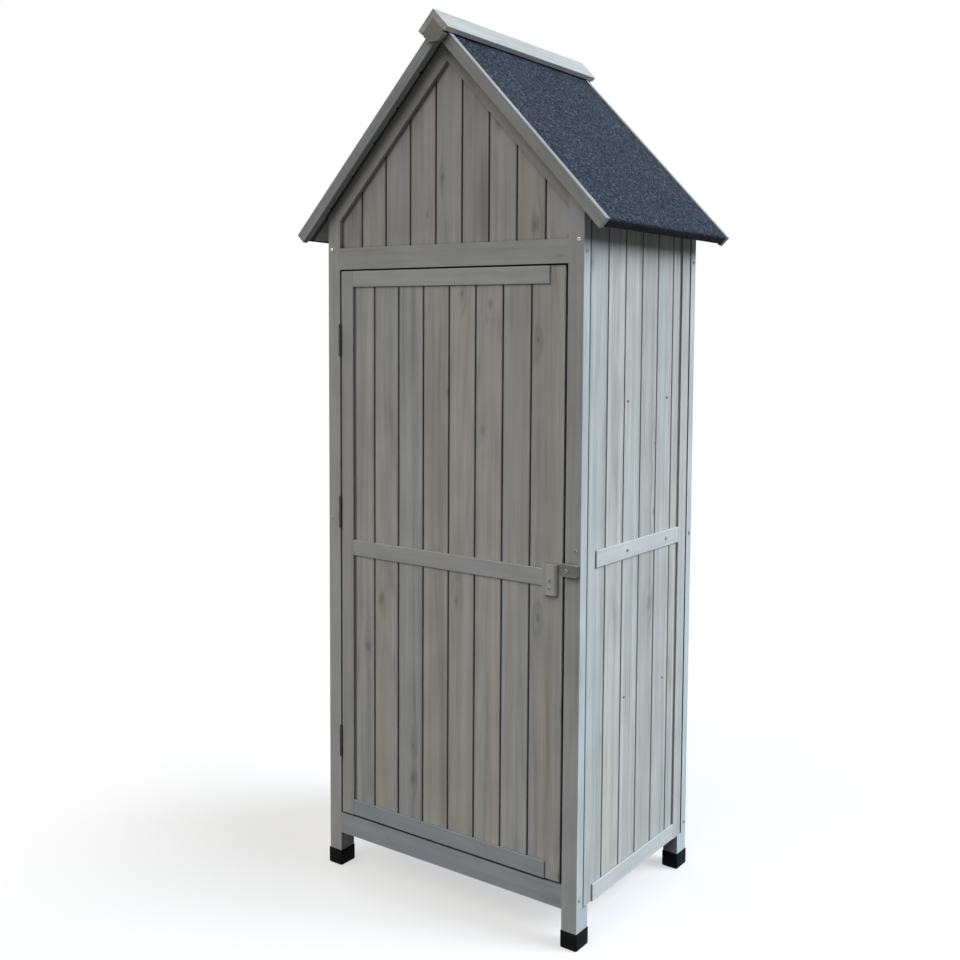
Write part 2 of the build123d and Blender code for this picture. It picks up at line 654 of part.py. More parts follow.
post_screw_place = WALL_INSIDE + WALL_SCREW_COVER
post_screw_length = POST_STRIP + FRONT_WALL_GAP + SCREW_BITE
rail_screw_places = {"front": FRONT + RAIL_SCREW_INSET, "rear": BACK - RAIL_SCREW_INSET}
rail_levels = {
    "front": {"bottom": BASE_LEVEL, "top": CROSSBAR_LEVEL},
    "rear": {"bottom": BASE_LEVEL, "middle": REAR_RAIL_LEVEL, "top": CROSSBAR_LEVEL},
}
for side, outward in (("left", LEFT), ("right", RIGHT)):
    for level in (DOOR_MIDDLE + MIDDLE_SCREW_RISE, CROSSBAR_TOP - UPPER_SCREW_DROP):
        point = (outward.X * post_screw_place, FRONT, level)
        pieces = ["post_front_" + side, side + "_side_boards"]
        fasten("post_screws", pieces, point, FORWARD, post_screw_length)
    for end, levels in rail_levels.items():
        for name, bottom in levels.items():
            point = (outward.X * HALF_WIDTH, rail_screw_places[end], bottom + RAIL_HEIGHT / 2)
            pieces = [f"post_{end}_{side}", f"{end}_{name}_rail"]
            fasten("post_screws", pieces, point, outward, POST_WIDTH + SCREW_BITE)
    for shelf, level in SHELF_CLEAT_CENTRES.items():
        face = HALF_WIDTH if shelf == "middle" else WALL_FACE
        for y in SHELF_SCREW_PLACES:
            point = (outward.X * face, y, level)
            pieces = [side + "_side_battens", side + "_side_boards", side + "_shelf_cleats"]
            fasten("shelf_screws", pieces, point, outward, face - WALL_INSIDE + SCREW_BITE)

for drop in BLOCK_SCREW_DROPS:
    point = ((BLOCK_LEFT + BLOCK_RIGHT) / 2, DOOR_FACE - BLOCK_THICKNESS, BLOCK_MIDDLE - drop)
    pieces = ["latch_block", "door_boards"]
    fasten("latch_block_screws", pieces, point, FORWARD, BLOCK_THICKNESS + LATCH_SCREW_BITE)

os.makedirs("parts", exist_ok=True)
for name, solids in nodes.items():
    pieces = [solid for shape in solids for solid in shape.solids()]
    export_step(Compound(pieces) if len(pieces) > 1 else pieces[0], f"parts/{name}.step")
print(len(nodes), "nodes")
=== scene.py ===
import math
import random

import bmesh
import bpy
from mathutils import Matrix, Vector


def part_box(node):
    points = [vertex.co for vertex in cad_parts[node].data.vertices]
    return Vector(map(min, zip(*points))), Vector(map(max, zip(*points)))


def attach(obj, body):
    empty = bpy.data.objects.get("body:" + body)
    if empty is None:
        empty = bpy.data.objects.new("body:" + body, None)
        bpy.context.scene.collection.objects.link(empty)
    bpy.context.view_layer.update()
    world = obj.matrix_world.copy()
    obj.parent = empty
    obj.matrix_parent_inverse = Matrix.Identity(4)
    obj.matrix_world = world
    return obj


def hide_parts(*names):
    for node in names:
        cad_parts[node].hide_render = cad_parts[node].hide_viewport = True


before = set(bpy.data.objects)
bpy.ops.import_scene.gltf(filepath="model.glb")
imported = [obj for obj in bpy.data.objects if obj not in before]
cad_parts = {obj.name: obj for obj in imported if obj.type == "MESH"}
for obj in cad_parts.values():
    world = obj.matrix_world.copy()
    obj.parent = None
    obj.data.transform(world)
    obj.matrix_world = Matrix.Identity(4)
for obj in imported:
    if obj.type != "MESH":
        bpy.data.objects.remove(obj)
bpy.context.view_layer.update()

# Boards and roof, in metres
BOARD_PITCH = 0.0662            # cover width of one wall board
EDGE_BOARD = 0.075              # width of the board at the free edge of the door
DECK_BOARD = 0.0888             # cover width of one roof board
DECK_BOARDS = 6                 # boards from the ridge to the eave
SIDE_BOARDS = 6                 # boards in a side wall
END_BOARDS_PER_SIDE = 4         # boards on each side of the middle one, front gable and rear
SHELF_BOARDS = 4                # boards in a shelf, and in the floor
SHELF_GAP = 0.004               # gap between two of them
GROOVE_WIDTH = 0.004            # groove between two boards
ROOF_PITCH = math.radians(46)

# Felt sheets, in metres
FELT_THICKNESS = 0.003
FELT_BEND = 0.006               # radius of the fold over the eave
FELT_STEP = 0.006               # distance between the points of the surface
FELT_GRAIN = 0.00035            # how far the granules stand out
FELT_WAVE = 0.0007              # slow unevenness
FELT_WAVE_RATES = (31, 0.12, 13, 0.07)  # of two waves, each along the ridge and down the slope
BEND_STEPS = 6
LIP_STEPS = 3
RIDGE_POINTS = 4                # points from the ridge over which the unevenness sets in
FELT_SEED = 11

# Foot caps, in metres
CAP_WALL = 0.002
CAP_FLOOR = 0.004
CAP_ROUND = 0.004               # rounding of the corners
CAP_RIM = 0.0006                # bevel round the top
CAP_TUCK = 0.8                  # how far the bottom draws in, as a share of the rounding
CAP_STEPS = 5                   # steps round a bottom edge
CORNER_STEPS = 6
LEAST_ROUND = 0.0005
ROUND_LOSS = 0.3                # how much rounding an inset takes away, as a share of the inset

# Screws, in metres
HEAD_RADIUS = 0.0038
HEAD_HEIGHT = 0.0024
HEAD_FOOT = 0.97                # radius of the head's underside, as a share
HEAD_RIM = 0.0003               # height of the edge of the head
DOME_START = 0.0004             # height at which the dome begins
DOME_FULLNESS = 0.8             # below 1 the dome is fuller than a ball
DOME_STEPS = 14
HEAD_SIDES = 32
CAD_HEAD_HEIGHT = 0.0022
NECK = ((0.0016, -0.003), (0.0018, 0.0))    # radius and height of the neck's ends
RECESS_ARM = 0.0021             # half the length of the cross recess
RECESS_WIDTH = 0.00062          # half the width of its arms
RECESS_DEPTH = 0.0014
RECESS_START = 0.0005           # height above which the head is cut
RECESS_SLOPE = 1.6
RECESS_LEAST = 0.25             # depth at the tip of an arm, as a share
BRIGHT_LEVEL = 1.2              # screws in the front above this have kept their zinc
SCREW_SEED = 4
SAME_POINT = 1e-6               # vertices of a CAD mesh nearer than this are one
BRIGHT_FINISH, STAINED_FINISH, RECESS_SHADE_FINISH = range(3)

# Camera of the photograph, in metres, degrees and pixels
IMAGE_SIZE = 960
FOCAL_LENGTH = 1148.15
OPTICAL_CENTRE = (523.64, 408.85)
CAMERA_PLACE = (1.43421, -2.02351, 1.18566)
CAMERA_YAW = 34.712
CAMERA_PITCH = -4.022
CAMERA_ROLL = 0.483
SENSOR_WIDTH = 36.0

X = Vector((1, 0, 0))
Y = Vector((0, 1, 0))
Z = Vector((0, 0, 1))
FLAT = (1, 1, 0)                # leaves out the third part of a vector
DOWN_RIGHT = Vector((math.cos(ROOF_PITCH), 0, -math.sin(ROOF_PITCH)))
DOWN_LEFT = Vector((-math.cos(ROOF_PITCH), 0, -math.sin(ROOF_PITCH)))
QUARTER = math.pi / 2
ENDS = ("front", "rear")
SIDES = ("left", "right")


# Node trees
class Graph:
    """Node tree of one material, with a short call for each kind of node."""

    def __init__(self, name):
        self.material = bpy.data.materials.new(name)
        self.material.use_nodes = True
        self.nodes = self.material.node_tree.nodes
        self.links = self.material.node_tree.links
        self.nodes.clear()

    def node(self, kind, **settings):
        made = self.nodes.new(kind)
        for name, value in settings.items():
            setattr(made, name, value)
        return made

    def feed(self, socket, value):
        """Links a socket to an output, or sets its value."""
        if isinstance(value, bpy.types.NodeSocket):
            self.links.new(value, socket)
        else:
            socket.default_value = value

    def filled(self, made, values):
        """Feeds a node's inputs by name or number."""
        for key, value in values.items():
            self.feed(made.inputs[key], value)
        return made

    def math(self, operation, *values):
        made = self.node("ShaderNodeMath", operation=operation)
        return self.filled(made, dict(enumerate(values))).outputs[0]

    def vector(self, operation, *values):
        made = self.node("ShaderNodeVectorMath", operation=operation)
        return self.filled(made, dict(enumerate(values))).outputs[0]

    def place(self):
        return self.node("ShaderNodeTexCoord").outputs["Object"]

    def facing(self):
        """Parts of the direction that the bare surface faces."""
        return self.parts(self.node("ShaderNodeNewGeometry").outputs["True Normal"])

    def measure(self, place, direction):
        """Distance of a place along a direction."""
        made = self.node("ShaderNodeVectorMath", operation="DOT_PRODUCT")
        return self.filled(made, {0: place, 1: direction}).outputs["Value"]

    def length(self, vector):
        """Length of a vector without its third part."""
        return self.math("SQRT", self.measure(self.vector("MULTIPLY", vector, vector), FLAT))

    def point(self, x, y, z=0.0):
        return self.filled(self.node("ShaderNodeCombineXYZ"), {0: x, 1: y, 2: z}).outputs[0]

    def parts(self, vector):
        return self.filled(self.node("ShaderNodeSeparateXYZ"), {0: vector}).outputs

    def noise(self, place, scale=1.0, detail=2.0, roughness=0.5):
        made = self.node("ShaderNodeTexNoise")
        values = {"Vector": place, "Scale": scale, "Detail": detail, "Roughness": roughness}
        return self.filled(made, values).outputs[0]

    def stretched_noise(self, place, scales, detail, roughness=0.5):
        """Noise with a scale of its own in each direction."""
        return self.noise(self.vector("MULTIPLY", place, scales), detail=detail, roughness=roughness)

    def cells(self, place, dimensions="3D", scale=1.0):
        made = self.node("ShaderNodeTexVoronoi", voronoi_dimensions=dimensions)
        return self.filled(made, {"Vector": place, "Scale": scale}).outputs

    def dice(self, place):
        """Three chances that are the same wherever the place is the same."""
        made = self.node("ShaderNodeTexWhiteNoise", noise_dimensions="3D")
        return self.parts(self.filled(made, {"Vector": place}).outputs["Color"])

    def span(self, value, low, high, start=0.0, end=1.0):
        """Smooth step from one value to another."""
        made = self.node("ShaderNodeMapRange", interpolation_type="SMOOTHSTEP")
        return self.filled(made, {0: value, 1: low, 2: high, 3: start, 4: end}).outputs[0]

    def blend(self, factor, first, second, mode="MIX"):
        made = self.node("ShaderNodeMix", data_type="RGBA", blend_type=mode)
        return self.filled(made, {0: factor, 6: first, 7: second}).outputs[2]

    def shaded(self, shade, level):
        """Colour multiplied by a level."""
        return self.blend(1.0, shade, self.point(level, level, level), "MULTIPLY")

    def ramp(self, value, stops):
        made = self.node("ShaderNodeValToRGB")
        elements = made.color_ramp.elements
        while len(elements) < len(stops):
            elements.new(0.5)
        for element, (position, shade) in zip(elements, stops):
            element.position = position
            element.color = shade
        return self.filled(made, {0: value}).outputs[0]

    def bump(self, height, strength, distance):
        made = self.node("ShaderNodeBump")
        values = {"Height": height, "Strength": strength, "Distance": distance}
        return self.filled(made, values).outputs[0]

    def surface(self, **values):
        """Ends the tree in a principled shader."""
        shader = self.filled(self.node("ShaderNodeBsdfPrincipled"), values)
        output = self.node("ShaderNodeOutputMaterial")
        self.links.new(shader.outputs[0], output.inputs["Surface"])
        return self.material


def colour(red, green, blue):
    return (red, green, blue, 1.0)


def tinted(tone, red, green, blue):
    """A tone with each of its colours multiplied."""
    return tuple(colour(shade[0] * red, shade[1] * green, shade[2] * blue) for shade in tone)


# Timber: each tone is the colour of dark, middle and pale streaks
BOARD_TONE = (colour(0.315, 0.308, 0.288), colour(0.405, 0.400, 0.378), colour(0.475, 0.468, 0.445))
FRAME_TONE = (colour(0.325, 0.330, 0.325), colour(0.400, 0.406, 0.402), colour(0.455, 0.462, 0.458))
# painted shade: the barge fronts are darker than the rest of the timber
BARGE_TONE = (colour(0.240, 0.243, 0.238), colour(0.292, 0.296, 0.290), colour(0.330, 0.334, 0.328))
SIDE_TONE = (colour(0.380, 0.379, 0.366), colour(0.466, 0.465, 0.449), colour(0.526, 0.525, 0.507))
BAR_TONE = (colour(0.442, 0.436, 0.422), colour(0.518, 0.511, 0.496), colour(0.566, 0.558, 0.541))
LATCH_TONE = (colour(0.170, 0.185, 0.180), colour(0.245, 0.262, 0.255), colour(0.320, 0.338, 0.330))
RAIL_TONE = (colour(0.287, 0.312, 0.332), colour(0.354, 0.382, 0.408), colour(0.404, 0.435, 0.464))
PLATE_TONE = (colour(0.175, 0.172, 0.162), colour(0.235, 0.231, 0.220), colour(0.285, 0.280, 0.268))
INNER_TONE = (colour(0.340, 0.330, 0.305), colour(0.430, 0.420, 0.392), colour(0.500, 0.490, 0.460))
# painted shade: the gable is darker for the roof's overhang
GABLE_TONE = tinted(BOARD_TONE, 0.92, 0.89, 0.90)
STILE_TONE = tinted(FRAME_TONE, 0.97, 0.94, 0.90)
# painted light and shade: the left barges are a lighter copy of the right ones, and the rakes are darker
# under the roof's overhang, the right ones most
LEFT_BARGE_TONE = tinted(BARGE_TONE, 1.2, 1.2, 1.2)
RIGHT_RAKE_TONE = tinted(FRAME_TONE, 0.72, 0.70, 0.69)
LEFT_RAKE_TONE = tinted(FRAME_TONE, 0.90, 0.88, 0.86)

# Timber: scales are across the grain, along it and into the wood, per metre
STREAK_SCALES = (70.0, 1.4, 30.0)
FIBRE_SCALES = (310.0, 5.0, 120.0)
CONTOUR_SCALES = (16.0, 0.9, 8.0)
HUE_SCALES = (42.0, 0.7, 9.0)
PATCH_SCALES = (22.0, 8.0, 22.0)
WAVER_SCALES = (9.0, 2.0)
WAVER_REACH = 0.012             # how far the grain wavers from side to side, in metres
BOARD_SHIFT = (7.0, 11.0)       # how far one board's grain may lie from another's, in metres
OBJECT_SEEDS = 97.0             # spreads the seeds of different timbers
STREAK_SHARE = 0.75             # of a streak's value
FIBRE_SHARE = 0.30
CONTOUR_SHARE = -0.10
SWIRL_SHARE = -0.13
MIDDLE_VALUE = 0.48             # value of the middle tone
TONE_REACH = 0.2                # from there to the value of the dark and the pale tone
CONTOURS = 7.0                  # contour lines from the lowest to the highest wood
CONTOUR_START = 0.28            # width of a line; nearer to 0.5 is thinner
KNOT_HILL = 0.13                # how high the contours rise round a knot
WARM_TINT = colour(1.03, 0.985, 0.94)
COOL_TINT = colour(0.935, 0.985, 1.015)
HUE_STOPS = (0.2, 0.5, 0.8)     # values of the warm tint, no tint and the cool tint
HUE_SPREAD = (1.4, 0.6, -0.5)   # hue within a board, from board to board, and its start
PATCH_LEVELS = (0.36, 0.74)     # spread and start of the level of patches
BOARD_LEVELS = 0.14             # spread of the level from board to board
GROOVE_SHADE = 0.45             # level of the painted shade in the groove between two boards
STILE_SHADE = 0.3               # level of the painted shade beside a stile
ROOF_SHADE = 0.05               # level of the painted shade on the roof boards where they meet a wall's face
DIRT_AND_SHADE_RANGE = (0.15, 0.75)       # openness of the darkest corner, and of the first one without dirt and painted shade
DIRT_AND_SHADE_LEVEL = 0.16               # level of dirt and painted shade in the darkest corner
CREVICE = 0.014                 # how far a corner's dirt and painted shade reach, in metres
SHADOWED_CREVICE = 0.003        # the same under the roof, where the lamps' shadow does the rest
CREVICE_SAMPLES = 8
TURNED_RANGE = (0.4, 0.9)       # how far a face turns to the side before its painted light and shade set in
GRAIN_RELIEF = 0.35
GRAIN_DEPTH = 0.0006            # in metres
CONTOUR_RELIEF = -0.4
TIMBER_ROUGHNESS = (-0.18, 0.72)        # change with the fibres, and start
TIMBER_SPECULAR = 0.2

# Knots, in metres
KNOT_PATCH = (0.075, 0.30, 1.0)         # part of a board that may hold one knot
KNOT_SIZES = (0.009, 0.003)     # spread and start of the radius
KNOT_OVAL = (1.0, 0.6, 0.0)     # knots are longer along the grain
KNOT_EDGE_SCALES = (170.0, 60.0, 0.0)
KNOT_EDGE = (2.2, 0.1)          # raggedness of the edge, and start
KNOT_FADE = (1.3, 0.1)          # from the edge to the dark core, in radii
KNOT_STRENGTH = 0.5
KNOT_COLOUR = colour(0.13, 0.125, 0.115)
KNOT_DOUBT = 0.15               # share of the chances between no knot and a full one
GRAIN_BEND = (0.013, 0.035, 1.0)        # reach of a swirl across and along the grain
GRAIN_PARTING = 0.85            # how far the grain parts for a knot


def board_row(g, u, board):
    """Number of the board at a place, and the painted shade that darkens the grooves."""
    start, pitch, last = board
    run = g.math("MINIMUM", g.math("SUBTRACT", u, start), (last - 0.5) * pitch)
    number = g.math("FLOOR", g.math("DIVIDE", run, pitch))
    joint = g.math("PINGPONG", g.math("ADD", run, GROOVE_WIDTH / 4), pitch / 2)
    return number, g.span(joint, GROOVE_WIDTH * 0.4, GROOVE_WIDTH, GROOVE_SHADE, 1.0)


def edge_shade(g, place, edge):
    """Level of the painted shade that darkens a strip along an edge."""
    axis, position, level = edge
    beside = g.math("ABSOLUTE", g.math("SUBTRACT", g.measure(place, axis), position))
    return g.span(beside, GROOVE_WIDTH, GROOVE_WIDTH * 2, level, 1.0)


def knot_spots(g, u, w, share):
    """Offset from the nearest knot, that knot's chances, and how far it is there."""
    cell = g.vector("DIVIDE", g.point(u, w), KNOT_PATCH)
    spot = g.cells(cell, "2D")
    offset = g.vector("MULTIPLY", g.vector("SUBTRACT", cell, spot["Position"]), KNOT_PATCH)
    chances = g.parts(spot["Color"])
    return offset, chances, g.span(chances[0], 1 - share, 1 + KNOT_DOUBT - share)


def knot_swirl(g, offset, present):
    """How far the grain bends round a knot."""
    reach = g.vector("DIVIDE", offset, GRAIN_BEND)
    reach = g.measure(g.vector("MULTIPLY", reach, reach), FLAT)
    return g.math("MULTIPLY", g.math("EXPONENT", g.math("MULTIPLY", reach, -1.0)), present)


def knot_core(g, u, w, offset, chances, present):
    """How dark a knot is at a place."""
    size = g.math("MULTIPLY_ADD", chances[1], *KNOT_SIZES)
    ragged = g.stretched_noise(g.point(u, w), KNOT_EDGE_SCALES, 2.0)
    far = g.length(g.vector("MULTIPLY", offset, KNOT_OVAL))
    far = g.math("MULTIPLY", far, g.math("MULTIPLY_ADD", ragged, *KNOT_EDGE))
    core = g.span(g.math("DIVIDE", far, size), *KNOT_FADE)
    return g.math("MULTIPLY", g.math("MULTIPLY", core, present), KNOT_STRENGTH)


def grain_place(g, u, w, v, offset, swirl):
    """Place among wavering grain lines that part for the knots."""
    slow = g.point(g.math("MULTIPLY", u, WAVER_SCALES[0]), g.math("MULTIPLY", w, WAVER_SCALES[1]))
    line = g.math("MULTIPLY_ADD", g.math("SUBTRACT", g.noise(slow), 0.5), WAVER_REACH, u)
    parting = g.math("MULTIPLY", g.parts(offset)[0], swirl)
    return g.point(g.math("SUBTRACT", line, g.math("MULTIPLY", parting, GRAIN_PARTING)), w, v)


def contour_lines(g, lines, swirl):
    """Contours of the wood's growth, ringed round the knots."""
    hill = g.stretched_noise(lines, CONTOUR_SCALES, 1.0)
    hill = g.math("MULTIPLY_ADD", swirl, KNOT_HILL, hill)
    return g.span(g.math("PINGPONG", g.math("MULTIPLY", hill, CONTOURS), 0.5), CONTOUR_START, 0.5)


def timber(name, across, along, tone, board=None, shaded_edges=(), rough=1.0, knots=0.3, hues=1.0, streaks=1.0,
           painted_side_level=1.0, dirt_and_shade_reach=CREVICE):
    """Stained softwood: streaks, contour lines bent round knots, and a shade of its own for each board."""
    g = Graph(name)
    place = g.place()
    u = g.measure(place, across)
    w = g.measure(place, along)
    v = g.measure(place, across.cross(along))
    # painted shade in the grooves between boards and along the given edges
    number, groove_and_edge_shade = board_row(g, u, board) if board else (0.0, 1.0)
    for edge in shaded_edges:
        groove_and_edge_shade = g.math("MULTIPLY", groove_and_edge_shade, edge_shade(g, place, edge))
    chance = g.node("ShaderNodeObjectInfo").outputs["Random"]
    dice = g.dice(g.point(number, g.math("MULTIPLY", chance, OBJECT_SEEDS)))
    u = g.math("MULTIPLY_ADD", dice[0], BOARD_SHIFT[0], u)
    w = g.math("MULTIPLY_ADD", dice[1], BOARD_SHIFT[1], w)

    offset, chances, present = knot_spots(g, u, w, knots)
    swirl = knot_swirl(g, offset, present)
    lines = grain_place(g, u, w, v, offset, swirl)
    contours = contour_lines(g, lines, swirl)
    fibres = g.stretched_noise(lines, FIBRE_SCALES, 3.0)

    value = g.math("MULTIPLY", g.stretched_noise(lines, STREAK_SCALES, 2.0), STREAK_SHARE)
    value = g.math("MULTIPLY_ADD", fibres, FIBRE_SHARE, value)
    value = g.math("MULTIPLY_ADD", contours, CONTOUR_SHARE, value)
    value = g.math("MULTIPLY_ADD", swirl, SWIRL_SHARE, value)
    reach = TONE_REACH / streaks
    stops = (MIDDLE_VALUE - reach, MIDDLE_VALUE, MIDDLE_VALUE + reach)
    shade = g.ramp(value, list(zip(stops, tone)))

    spread, from_board, start = HUE_SPREAD
    hue = g.math("MULTIPLY_ADD", dice[2], from_board, start)
    hue = g.math("MULTIPLY_ADD", g.stretched_noise(lines, HUE_SCALES, 1.0), spread, hue)
    tint = g.ramp(hue, list(zip(HUE_STOPS, (WARM_TINT, colour(1, 1, 1), COOL_TINT))))
    shade = g.blend(hues, shade, tint, "MULTIPLY")
    patch = g.stretched_noise(g.point(u, w, v), PATCH_SCALES, 2.0)
    level = g.math("MULTIPLY_ADD", dice[0], BOARD_LEVELS, g.math("MULTIPLY_ADD", patch, *PATCH_LEVELS))
    shade = g.shaded(shade, level)
    shade = g.blend(knot_core(g, u, w, offset, chances, present), shade, KNOT_COLOUR)

    # dirt and painted shade in corners, darker where a place is less open
    crevice = g.node("ShaderNodeAmbientOcclusion", samples=CREVICE_SAMPLES)
    crevice.inputs["Distance"].default_value = dirt_and_shade_reach
    dirt_and_shade = g.math("MULTIPLY", g.span(crevice.outputs["AO"], *DIRT_AND_SHADE_RANGE, DIRT_AND_SHADE_LEVEL, 1.0), groove_and_edge_shade)
    # painted light and shade: faces turned to the side take a level of their own
    if painted_side_level != 1.0:
        turned = g.math("ABSOLUTE", g.facing()[0])
        dirt_and_shade = g.math("MULTIPLY", dirt_and_shade, g.span(turned, *TURNED_RANGE, 1.0, painted_side_level))
    shade = g.shaded(shade, dirt_and_shade)

    height = g.math("MULTIPLY_ADD", contours, CONTOUR_RELIEF, fibres)
    return g.surface(**{
        "Base Color": shade,
        "Roughness": g.math("MULTIPLY_ADD", fibres, *TIMBER_ROUGHNESS),
        "Normal": g.bump(height, GRAIN_RELIEF * rough, GRAIN_DEPTH),
        "Specular IOR Level": TIMBER_SPECULAR,
    })


# Other materials; scales are per metre
GRANULE_SCALE = 430.0
CLUMP_SCALE = 120.0
FELT_PATCH_SCALE = 7.0
FELT_SHARES = (0.5, 0.7, 0.20, -0.1)    # of granules, clumps and patches in the value, and its start
FELT_STOPS = [
    (0.34, colour(0.0022, 0.0036, 0.0062)),
    (0.55, colour(0.0098, 0.0138, 0.0218)),
    (0.74, colour(0.042, 0.053, 0.075)),
]
GLINT_RANGE = (0.955, 0.985)    # chances from which a granule is pale
GLINT_STRENGTH = 0.5
GLINT_COLOUR = colour(0.30, 0.32, 0.36)
FOLD_RANGE = (-0.3, 0.6)        # painted shade from the fold at the eave to the slope, by how far the felt faces up
# level of the painted shade on the fold
FOLD_SHADE = 0.2
GRANULE_RELIEF = (0.8, 0.0012)
FELT_ROUGHNESS = (0.2, 0.78)    # change from granule to granule, and start
FELT_SPECULAR = 0.12

SCUFF_SCALES = (60, 60, 140)
SCUFF_RANGE = (0.52, 0.78)
PLASTIC_GRAIN_SCALE = 900.0
PLASTIC_COLOUR = colour(0.004, 0.0045, 0.005)
SCUFF_COLOUR = colour(0.012, 0.013, 0.014)
PLASTIC_ROUGHNESS = (0.25, 0.55)
PLASTIC_RELIEF = (0.25, 0.0003)
PLASTIC_SPECULAR = 0.05

BLOTCH_SCALE = 350.0
BLOTCH_RANGE = (0.40, 0.70)
BLOTCH_ROUGHNESS = 0.20
STEEL_GRAIN_SCALE = 1400.0
STEEL_RELIEF = (0.2, 0.0002)
STEEL_METALLIC = 0.9
HINGE_COLOURS = (colour(0.075, 0.075, 0.073), colour(0.04, 0.037, 0.034))       # clean and stained
BRIGHT_COLOURS = (colour(0.78, 0.78, 0.77), colour(0.52, 0.51, 0.50))
STAINED_COLOURS = (colour(0.34, 0.34, 0.335), colour(0.16, 0.158, 0.15))
# painted shade in the cross recess of a screw
RECESS_SHADE_COLOURS = (colour(0.03, 0.03, 0.03), colour(0.015, 0.015, 0.015))


def felt_material():
    """Bitumen felt with dark mineral granules, some of them pale."""
    g = Graph("roof_felt_granules")
    place = g.place()
    grain = g.cells(place, scale=GRANULE_SCALE)
    chance = g.parts(grain["Color"])
    clump = g.noise(place, CLUMP_SCALE, 2.0, 0.6)
    patch = g.noise(place, FELT_PATCH_SCALE, 2.0)
    granule_share, clump_share, patch_share, start = FELT_SHARES
    value = g.math("MULTIPLY_ADD", chance[0], granule_share, start)
    value = g.math("MULTIPLY_ADD", clump, clump_share, value)
    value = g.math("MULTIPLY_ADD", patch, patch_share, value)
    glint = g.math("MULTIPLY", g.span(chance[1], *GLINT_RANGE), GLINT_STRENGTH)
    shade = g.blend(glint, g.ramp(value, FELT_STOPS), GLINT_COLOUR)
    # painted shade on the fold over the eave, where the felt faces down
    shade = g.shaded(shade, g.span(g.facing()[2], *FOLD_RANGE, FOLD_SHADE, 1.0))
    return g.surface(**{
        "Base Color": shade,
        "Roughness": g.math("MULTIPLY_ADD", chance[2], *FELT_ROUGHNESS),
        "Normal": g.bump(g.math("SUBTRACT", clump, grain["Distance"]), *GRANULE_RELIEF),
        "Specular IOR Level": FELT_SPECULAR,
    })


def plastic_material():
    """Black moulded plastic with a fine texture and dusty scuffs."""
    g = Graph("foot_cap_plastic")
    place = g.place()
    scuff = g.span(g.stretched_noise(place, SCUFF_SCALES, 4.0, 0.65), *SCUFF_RANGE)
    return g.surface(**{
        "Base Color": g.blend(scuff, PLASTIC_COLOUR, SCUFF_COLOUR),
        "Roughness": g.math("MULTIPLY_ADD", scuff, *PLASTIC_ROUGHNESS),
        "Normal": g.bump(g.noise(place, PLASTIC_GRAIN_SCALE), *PLASTIC_RELIEF),
        "Specular IOR Level": PLASTIC_SPECULAR,
    })


def steel_material(name, clean, stained, roughness):
    """Steel with blotches in its coating."""
    g = Graph(name)
    place = g.place()
    blotch = g.span(g.noise(place, BLOTCH_SCALE, 3.0, 0.6), *BLOTCH_RANGE)
    return g.surface(**{
        "Base Color": g.blend(blotch, clean, stained),
        "Roughness": g.math("MULTIPLY_ADD", blotch, BLOTCH_ROUGHNESS, roughness),
        "Normal": g.bump(g.noise(place, STEEL_GRAIN_SCALE), *STEEL_RELIEF),
        "Metallic": STEEL_METALLIC,
    })


def shelf_row(node):
    """Start of a shelf's first board, the distance from one board to the next, and their number."""
    low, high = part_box(node)
    return low.y, (high.y - low.y + SHELF_GAP) / SHELF_BOARDS, SHELF_BOARDS


